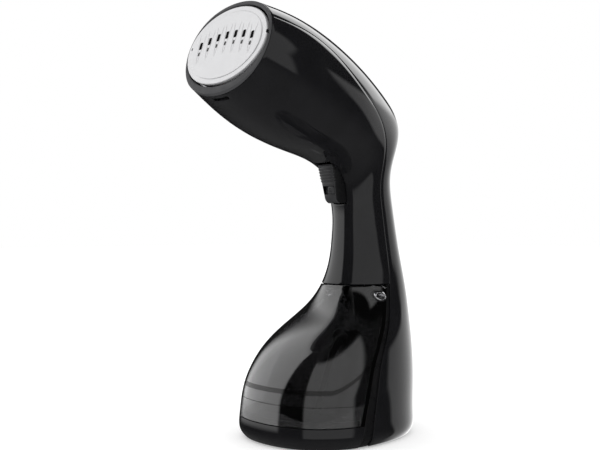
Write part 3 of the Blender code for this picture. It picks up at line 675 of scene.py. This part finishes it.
rear_places = places(L_TOP, L_BASE, 1.3)
rear_rows = [rear_row(L) for L in rear_places]
rear = sheet("casing_rear", rear_rows, MAT["gloss_black"], "body", 2.2, edge=0.09)
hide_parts("rear_cover")


# tank bay: side flanges in the body's skin, and the wall between them
def bay_row(z):
    L = place_at_z(z)
    y, width = bay_y(z)
    a = angle_at_y(L, y + width)
    b = angle_at_y(L, y)
    a += gap_angle(L, a, 0.14)
    b -= gap_angle(L, b, 0.25)
    right = skin(L, np.linspace(a, b, 6), 0.9)
    x, yy, zz = right[-1]
    web = np.array([(x * (1 - 2 * i / 14), yy, zz) for i in range(1, 14)])
    left = right[::-1] * np.array([-1, 1, 1])
    return np.concatenate([right, web, left])


bay_zs = list(np.linspace(102.7, BASE_Z, 86))
bay = sheet("tank_bay_wall", [bay_row(z) for z in bay_zs], MAT["bay_black_and_flank_shade"], "body", 1.8, edge=0.3)
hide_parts("tank_bay")

# =====================================================================
# Steam head
# =====================================================================
N_RING = 160
PLATE_CV = 1.0


def skin_loop(L, inset=0.0):
    # starts over +X and turns towards the top, as oval() does
    t = math.pi / 2 - 2 * math.pi * np.arange(N_RING) / N_RING
    return [tuple(p) for p in skin(L, t, inset)]


def lip(a, b, f, cv):
    return oval(a, b, f, N_RING, cv=cv, n=2.06)


_s0 = skin_loop(0.0)
lips = [lip(40.0, 27.4, -6.6, PLATE_CV), lip(40.25, 27.5, -0.6, PLATE_CV), lip(40.3, 27.6, -0.15, PLATE_CV),
        lip(40.45, 27.95, 0.15, 0.9), lip(40.75, 28.9, 0.32, 0.6), lip(41.05, 30.2, 0.25, 0.3)]
_t = math.pi / 2 - 2 * math.pi * np.arange(N_RING) / N_RING
outer = [[tuple(p) for p in skin_at(lip_depth(_t) * k, _t)] for k in (0.08, 0.3, 0.55, 0.8, 0.96)]
_edge = skin_at(lip_depth(_t) + 0.02, _t)
_mid = np.array(head(0, 0, 0))


def shrunk(points, d, back):
    """Points moved d mm towards the face's centre line and back along it."""
    out = []
    for p in points:
        q = np.array(p) - _mid
        v = q[1] * FACE_V[0] + q[2] * FACE_V[1]
        f = q[1] * FACE_F[0] + q[2] * FACE_F[1]
        size = math.hypot(q[0], v)
        k = 1 - d / size
        out.append(head(q[0] * k, v * k, f - back))
    return out


outer += [shrunk(_edge, 0.12, 0.0), shrunk(_edge, 0.55, 0.25), shrunk(_edge, 0.6, 4.0)]
bezel = loft("head_lip_ring", lips + outer + [lip(40.0, 27.4, -6.8, PLATE_CV)], MAT["bezel_grey"], "body", ring=True)
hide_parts("head_bezel")


def pl(a, b, f, count=144):
    return oval(a, b, f, count, cv=PLATE_CV, n=2.02)


PLATE = [(38.6, 25.4, -2.6), (39.3, 26.1, -1.8), (39.6, 26.4, 0.3), (39.5, 26.3, 0.75), (39.1, 25.9, 1.05),
         (36.0, 23.3, 1.20), (35.65, 23.0, 1.26), (35.35, 22.75, 1.50), (35.05, 22.5, 1.62), (34.4, 21.9, 1.68)]
plate = loft("steam_plate", [pl(*r) for r in PLATE], MAT["soleplate_silver"], "body")
plate.data.materials.append(MAT["slot_dark"])
plate.data.materials.append(MAT["mark_grey"])
TOP_F = 1.68
PITCH, RISE, DROP = 8.74, 6.66, 0.0054


def slot_ring(cx, cv, f, w, h, per=5, corner=0.75):
    """Upright slot with rounded corners."""
    r = min(corner, w / 2 - 0.01)
    out = []
    for sx, sv, a0 in ((1, 1, 0), (-1, 1, 90), (-1, -1, 180), (1, -1, 270)):
        for i in range(per):
            a = math.radians(a0 + 90 * i / (per - 1))
            out.append(head(cx + sx * (w / 2 - r) + r * math.cos(a), cv + sv * (h / 2 - r) + r * math.sin(a), f))
    return out


def line_cut(x0, v0, x1, v1, width, depth):
    """Fine V groove from one face point to another, fading out at its far end."""
    d = math.hypot(x1 - x0, v1 - v0)
    nx, nv = -(v1 - v0) / d, (x1 - x0) / d
    rows = []
    for q in (0.0, 0.08, 0.5, 0.9, 1.0):
        x, v = x0 + (x1 - x0) * q, v0 + (v1 - v0) * q
        k = {0.0: 0.15, 0.08: 0.8, 0.5: 1.0, 0.9: 0.7, 1.0: 0.12}[q]
        b, dd = width / 2 * k, depth * k
        rows.append([head(x - nx * b, v - nv * b, TOP_F + 0.6), head(x + nx * b, v + nv * b, TOP_F + 0.6),
                     head(x + nx * b, v + nv * b, TOP_F + 0.003), head(x, v, TOP_F - dd),
                     head(x - nx * b, v - nv * b, TOP_F + 0.003)])
    return cutter_loft(rows)


for i in range(-3, 4):
    cx = i * PITCH
    cv = PLATE_CV + RISE - DROP * cx * cx
    for side in (-1, 1):
        cut(plate, line_cut(cx + side * 3.1, cv + 8.0, cx + side * 0.35, cv - 13.0, 0.55, 0.32))
for i in range(-3, 4):
    cx = i * PITCH
    cv = PLATE_CV + RISE - DROP * cx * cx
    c = cutter_loft([slot_ring(cx, cv, -2.2, 2.7, 4.8), slot_ring(cx, cv, TOP_F - 0.5, 2.7, 4.8),
                     slot_ring(cx, cv, TOP_F + 0.2, 3.1, 5.2), slot_ring(cx, cv, 4, 3.1, 5.2)])
    # the slot walls and floors take the near-black painted shade
    c.data.materials.clear()
    c.data.materials.append(MAT["slot_dark"])
    cut(plate, c)
    c = cutter_loft([slot_ring(cx, cv - 5.7, TOP_F - 0.75, 1.8, 2.8), slot_ring(cx, cv - 5.7, 4, 2.0, 3.0)])
    c.data.materials.clear()
    c.data.materials.append(MAT["mark_grey"])
    cut(plate, c)
# locating notch in the right edge, its faces in near-black painted shade, and a small witness mark near the left one
for cx, cv, w, h, f0, look in ((39.3, 4.6, 1.6, 2.6, -0.6, "slot_dark"), (-36.4, 3.4, 1.3, 2.2, TOP_F - 0.9, "mark_grey")):
    c = cutter_loft([slot_ring(cx, cv, f0, w, h), slot_ring(cx, cv, 4, w, h)])
    c.data.materials.clear()
    c.data.materials.append(MAT[look])
    cut(plate, c)
apply_all(plate, 32)
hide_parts("soleplate")
# near-black sheet under the plate: painted shade seen through the steam openings
bed = loft("steam_bed_painted_shade", [oval(30, 17, -2.75, 48, cv=PLATE_CV), oval(30, 17, -2.68, 48, cv=PLATE_CV)], MAT["slot_dark"], "body")

# =====================================================================
# Water tank
# =====================================================================
def tank_loop(z, inset=0.0, arc=73, chord=17, back=0.35):
    L = place_at_z(z)
    a = angle_at_y(L, bay_y(z)[0] - back - inset, inset)
    pts = skin(L, np.linspace(a, 2 * math.pi - a, arc), inset)
    x0, y, zz = pts[-1]
    web = np.array([(x0 * (1 - 2 * i / (chord + 1)), y, zz) for i in range(1, chord + 1)])
    return np.concatenate([pts, web])


tank_zs = list(np.linspace(101.3, CAP_Z + 0.35, 70))
inner_zs = list(np.linspace(CAP_Z + 0.35, 100.2, 60))
tank_loops = ([tank_loop(102.45, 0.9), tank_loop(102.3, 0.35), tank_loop(101.9, 0.06)] + [tank_loop(z) for z in tank_zs]
              + [tank_loop(z, 2.0) for z in inner_zs])
tank = loft("water_tank", tank_loops, MAT["smoked_clear"], "tank", sharp=40)
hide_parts("tank_shell")

BTN_Y, BTN_Z = 18.5, 95.4


def skin_x(y, z):
    L = place_at_z(z)
    return float(skin(L, angle_at_y(L, y))[0])


def button_loop(a, b, dx, side, count=48, fixed=None):
    out = []
    for i in range(count):
        t = 2 * math.pi * i / count
        y, z = BTN_Y + a * math.cos(t), BTN_Z + b * math.sin(t)
        out.append((side * (fixed if fixed is not None else skin_x(y, z) + dx), y, z))
    return out


for side, tag in ((-1, "left"), (1, "right")):
    cut(tank, cutter_loft([button_loop(4.65, 3.35, 0, side, fixed=18.0), button_loop(4.65, 3.35, 2.0, side)]))
cut(tank, cutter_loft([[(18 + 5.4 * math.cos(2 * math.pi * i / 40), y, 66 + 5.4 * math.sin(2 * math.pi * i / 40))
                        for i in range(40)] for y in (-12, 30)]))
apply_all(tank, 40)

# latch sleeves and buttons
for side, tag in ((-1, "left"), (1, "right")):
    sleeve = loft("latch_sleeve_" + tag, [button_loop(4.65, 3.35, 0, side, fixed=20.5), button_loop(4.65, 3.35, -0.05, side),
                                          button_loop(5.35, 4.05, 0.08, side), button_loop(5.5, 4.2, -0.3, side),
                                          button_loop(5.5, 4.2, 0, side, fixed=20.5)],
                  MAT["valve_dark"], "tank", ring=True)
    cap = loft("release_cap_" + tag, [button_loop(4.2, 2.95, 0, side, fixed=23.2), button_loop(4.2, 2.95, 0.1, side),
                                      button_loop(3.9, 2.65, 0.75, side), button_loop(3.2, 2.05, 1.0, side),
                                      button_loop(2.6, 1.6, 0.75, side), button_loop(1.6, 0.95, 0.55, side)],
               MAT["button_clear"], "release_" + tag)
    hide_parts("release_button_" + tag)
    rim = loft("release_rim_" + tag, [button_loop(4.25, 3.0, 0.15, side), button_loop(4.22, 2.97, 0.75, side),
                                      button_loop(3.85, 2.6, 0.98, side), button_loop(3.6, 2.4, 0.70, side),
                                      button_loop(3.6, 2.4, 0.15, side)],
               MAT["button_rim"], "release_" + tag, ring=True)

# moulded band inside the tank wall, rising towards the rear, and a fine fill line under it
def band_row(off, z_mid, half, inset, lift=16.0):
    t = np.linspace(0, 1, 97)
    out = []
    for q in t:
        # q 0 and 1 are the two rear edges, 0.5 the front
        d = min(q, 1 - q)
        rise = lift * (1 - min(1.0, d / 0.17)) ** 1.5
        z = z_mid + rise + off * half
        L = place_at_z(z)
        a = angle_at_y(L, bay_y(z)[0] - 3.2, inset)
        out.append(tuple(skin(L, a + (2 * math.pi - 2 * a) * q, inset)))
    return out


line = loft("tank_line", [list(r) for r in zip(*[band_row(1, 28.2, 0.25, -0.03, 0), band_row(1, 28.2, 0.25, 0.3, 0),
                                                 band_row(-1, 28.2, 0.25, 0.3, 0), band_row(-1, 28.2, 0.25, -0.03, 0)])],
            MAT["smoked_rib"], "tank")
band = loft("tank_band", [list(r) for r in zip(*[band_row(1, 37.0, 1.5, -0.04), band_row(1, 37.0, 1.5, 0.6),
                                                 band_row(-1, 37.0, 1.5, 0.6), band_row(-1, 37.0, 1.5, -0.04)])],
            MAT["smoked_rib"], "tank")


def cap_row(z, inset=0.0):
    return tank_loop(z, inset)


cap_rows = [cap_row(z) for z in (14.65, 13.0, 11.0, 9.0, 7.5, 6.2, 5.2, 4.4, 3.7, 3.1, 2.5, 2.0, 1.6, 1.2, BASE_Z)]
cap = sheet("tank_foot", cap_rows, MAT["gloss_black"], "tank", 2.0, closed=True, cap_bottom=True, edge=0)
cut(cap, cutter_box((-11.5, -44.6, -3), (11.5, -28.1, 6)))
for side in (-1, 1):
    cut(cap, cutter_loft([[(30 * side + 5.4 * math.cos(2 * math.pi * i / 40), -34 + 5.4 * math.sin(2 * math.pi * i / 40), z)
                           for i in range(40)] for z in (-2, 1.7)]))
apply_all(cap, 40)
soft_edges(cap, 0.25, 2, 50)
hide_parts("tank_base_cap")

# =====================================================================
# Trigger
# =====================================================================
rib = []
z = 184.7
for _k in range(6):
    y = -7.6 + (184.9 - z) * 0.27
    rib += [(y + 0.35, z), (y, z - 0.35), (y + 0.1, z - 0.9), (y + 0.45, z - 1.15), (y + 0.85, z - 1.35), (y + 0.9, z - 1.75)]
    z -= 2.0
OUTLINE = rib + [(-3.9, 172.2), (-3.75, 171.5), (-2.3, 163.6), (-1.9, 162.2), (-1.4, 161.1), (-0.6, 160.3), (0.4, 159.65),
                 (1.6, 159.15), (3.0, 158.9), (11.6, 159.3), (12.0, 170.0), (13.2, 176.0), (13.6, 186.0), (11.6, 188.2),
                 (7.4, 188.2), (5.0, 186.9), (4.4, 185.9), (-5.8, 185.65), (-7.0, 185.3)]
trig_loops = []
for i in range(25):
    q = -1 + 2 * i / 24
    x = 7.4 * (math.sin(q * math.pi / 2) * 0.35 + q * 0.65)
    back = 1.1 * abs(x / 7.4) ** 2.6
    trim = 0.8 * max(0.0, (abs(x) - 6.6) / 0.8) ** 2
    loop = []
    for y, z in OUTLINE:
        low = min(1.0, max(0.0, (179.0 - z) / 17.0))
        narrow = 1 - 0.2 * low * low * (3 - 2 * low)
        if y < 2.5:
            y += back * min(1.0, (2.5 - y) / 3.0) + trim
        loop.append((x * narrow, y, z + (trim * 0.6 if z < 160 else 0) - (trim * 0.6 if z > 183 and y < 4 else 0)))
    trig_loops.append(loop)
trig = loft("finger_trigger", trig_loops, MAT["trigger_black"], "trigger", sharp=38)
cut(trig, cutter_box((-5.6, -12, 164.9), (5.45, 0.3, 170.7)))
cut(trig, cutter_box((-4.8, 3.4, 150), (4.8, 30, 173.6)))
cut(trig, cutter_loft([[(x, 9 + 1.75 * math.cos(2 * math.pi * i / 32), 184 + 1.75 * math.sin(2 * math.pi * i / 32))
                        for i in range(32)] for x in (-14, 14)]))
apply_all(trig, 38)
# the trigger's side faces (normal mostly along ±X) take the darker bay black: painted shade on the flanks
trig.data.materials.append(MAT["bay_black_and_flank_shade"])
for _p in trig.data.polygons:
    if abs(_p.normal.x) > 0.72 and _p.material_index == 0:
        _p.material_index = len(trig.data.materials) - 1
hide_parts("trigger")
lock = rounded_box("lock_slider", (0.35, -3.9, 165.15), (5.25, 0.1, 170.45), MAT["trigger_black"], "trigger_lock", 0.7, 3)
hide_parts("trigger_lock")
for i in range(3):
    r = rounded_box(f"lock_grip_{i + 1}", (1.3 + i * 1.25, -4.25, 166.1), (1.8 + i * 1.25, -3.6, 169.5), MAT["trigger_black"],
                    "trigger_lock", 0.2, 2)

# =====================================================================
# Cord gland at the back of the leg
# =====================================================================
prof = [(3.2, 0.0), (5.0, 0.0), (5.0, 7.4), (7.2, 7.4), (7.4, 7.7), (7.4, 8.9), (7.0, 9.1), (7.0, 9.6), (7.2, 9.8), (6.9, 10.7),
        (6.5, 10.9), (6.5, 11.2), (6.1, 11.5), (3.6, 11.5), (3.2, 11.1)]
gland = lathe("cord_exit_gland", (0, 54.5, 14.0), (0, 1, 0), prof, MAT["rubber_black"], "body")
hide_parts("cord_gland")

# =====================================================================
# Studio
# =====================================================================
AZ = math.radians(48.0)
C_DIR = Vector((math.sin(AZ), -math.cos(AZ), 0.0))        # from the object to the camera
C_LAT = Vector((math.cos(AZ), math.sin(AZ), 0.0))

cam_data = bpy.data.cameras.new("camera")
cam = bpy.data.objects.new("camera", cam_data)
bpy.context.scene.collection.objects.link(cam)
cam.location = (0.4773, -0.4591 + YS * 0.001, 0.141)
cam.rotation_euler = (math.radians(90), 0, AZ)
cam_data.sensor_width = 36.0
cam_data.lens = 57.3
cam_data.shift_y = 0.0067
cam_data.clip_start = 0.01
bpy.context.scene.camera = cam

world = bpy.data.worlds.new("studio")
bpy.context.scene.world = world
world.use_nodes = True
wt = world.node_tree
wt.nodes.clear()
wn = wt.nodes.new


def wlink(a, b):
    wt.links.new(a, b)


w_out = wn("ShaderNodeOutputWorld")
w_coord = wn("ShaderNodeTexCoord")


def wdot(v):
    d = wn("ShaderNodeVectorMath")
    d.operation = "DOT_PRODUCT"
    wlink(w_coord.outputs["Generated"], d.inputs[0])
    d.inputs[1].default_value = tuple(v)
    return d.outputs["Value"]


def wmath(op, a, b=None, c=None):
    m = wn("ShaderNodeMath")
    m.operation = op
    for s, v in enumerate((a, b, c)):
        if v is None:
            continue
        if isinstance(v, (int, float)):
            m.inputs[s].default_value = v
        else:
            wlink(v, m.inputs[s])
    return m.outputs[0]


def wstep(v, a, b):
    r = wn("ShaderNodeMapRange")
    r.interpolation_type = "SMOOTHSTEP"
    r.inputs["From Min"].default_value = a
    r.inputs["From Max"].default_value = b
    wlink(v, r.inputs["Value"])
    return r.outputs["Result"]


def wwindow(v, a0, a1, b0, b1):
    return wmath("MULTIPLY", wstep(v, a0, a1), wmath("SUBTRACT", 1.0, wstep(v, b0, b1)))


# bearing around the object from the camera's side (0) to its right (+) and left (-), and elevation, in degrees
bearing = wmath("DEGREES", wmath("ARCTAN2", wdot(C_LAT), wdot(C_DIR)))
elevation = wmath("DEGREES", wmath("ARCSINE", wdot((0, 0, 1))))
back = wmath("DEGREES", wmath("ARCCOSINE", wdot(-C_DIR)))
left_box = wmath("MULTIPLY", wwindow(bearing, -156, -138, -76, -70), wwindow(elevation, -12, -2, 60, 74))
reach = wmath("SUBTRACT", bearing, wmath("MULTIPLY", wmath("MINIMUM", wmath("MAXIMUM", wmath("SUBTRACT", elevation, 6.0), 0.0), 14.0), 0.9))
near_box = wmath("MULTIPLY", wmath("MULTIPLY", wstep(bearing, -34, -28), wmath("SUBTRACT", 1.0, wstep(reach, 55, 63))),
                 wwindow(elevation, -22, -16, 54, 61))
below = wmath("MULTIPLY", wmath("SUBTRACT", 1.0, wstep(elevation, -45, -6)), 0.16)
turn = wmath("SUBTRACT", bearing, wmath("MULTIPLY", wmath("MAXIMUM", wmath("MULTIPLY", elevation, -1.0), 0.0), 0.7))
side_box = wmath("MULTIPLY", wmath("ADD", wmath("MULTIPLY", wstep(turn, 97, 102), 0.35), wmath("MULTIPLY", wstep(turn, 102, 160), 0.65)),
                 wwindow(elevation, -44, -30, 9, 14))
strip = wmath("MULTIPLY", wwindow(back, 30, 35, 57, 61), wmath("MULTIPLY", wstep(elevation, 9, 15), wstep(bearing, 60, 80)))
level = wmath("ADD", wmath("MULTIPLY", left_box, 1.6), 0.02)
level = wmath("ADD", level, wmath("MULTIPLY", strip, 3.2))
level = wmath("ADD", level, wmath("MULTIPLY", near_box, 0.72))
level = wmath("ADD", level, wmath("MULTIPLY", side_box, 2.2))
level = wmath("ADD", level, below)
studio = wn("ShaderNodeBackground")
wlink(level, studio.inputs["Strength"])
soft = wn("ShaderNodeBackground")
soft.inputs["Color"].default_value = (1.0, 1.0, 1.0, 1.0)
soft.inputs["Strength"].default_value = 1.0
path = wn("ShaderNodeLightPath")
pick = wn("ShaderNodeMixShader")
wlink(path.outputs["Is Glossy Ray"], pick.inputs["Fac"])
wlink(soft.outputs[0], pick.inputs[1])
wlink(studio.outputs[0], pick.inputs[2])
wlink(pick.outputs[0], w_out.inputs["Surface"])

bm = bmesh.new()
bmesh.ops.create_grid(bm, x_segments=2, y_segments=2, size=6.0)
fm = bpy.data.meshes.new("floor")
bm.to_mesh(fm)
bm.free()
floor = bpy.data.objects.new("floor", fm)
bpy.context.scene.collection.objects.link(floor)
floor.location = (0, 0, -0.0002)
k = Build("floor_pale")
k.link(k.ramp(k.noise(3.0), [(0.3, (0.88, 0.88, 0.88)), (0.7, (0.90, 0.90, 0.90))]), k.b.inputs["Base Color"])
k.b.inputs["Roughness"].default_value = 1.0
k.b.inputs["Specular IOR Level"].default_value = 0.0
k.b.inputs["Emission Color"].default_value = (1, 1, 1, 1)
k.b.inputs["Emission Strength"].default_value = 0.35
fm.materials.append(k.m)
floor.visible_glossy = False

bpy.context.scene.view_settings.view_transform = "Standard"
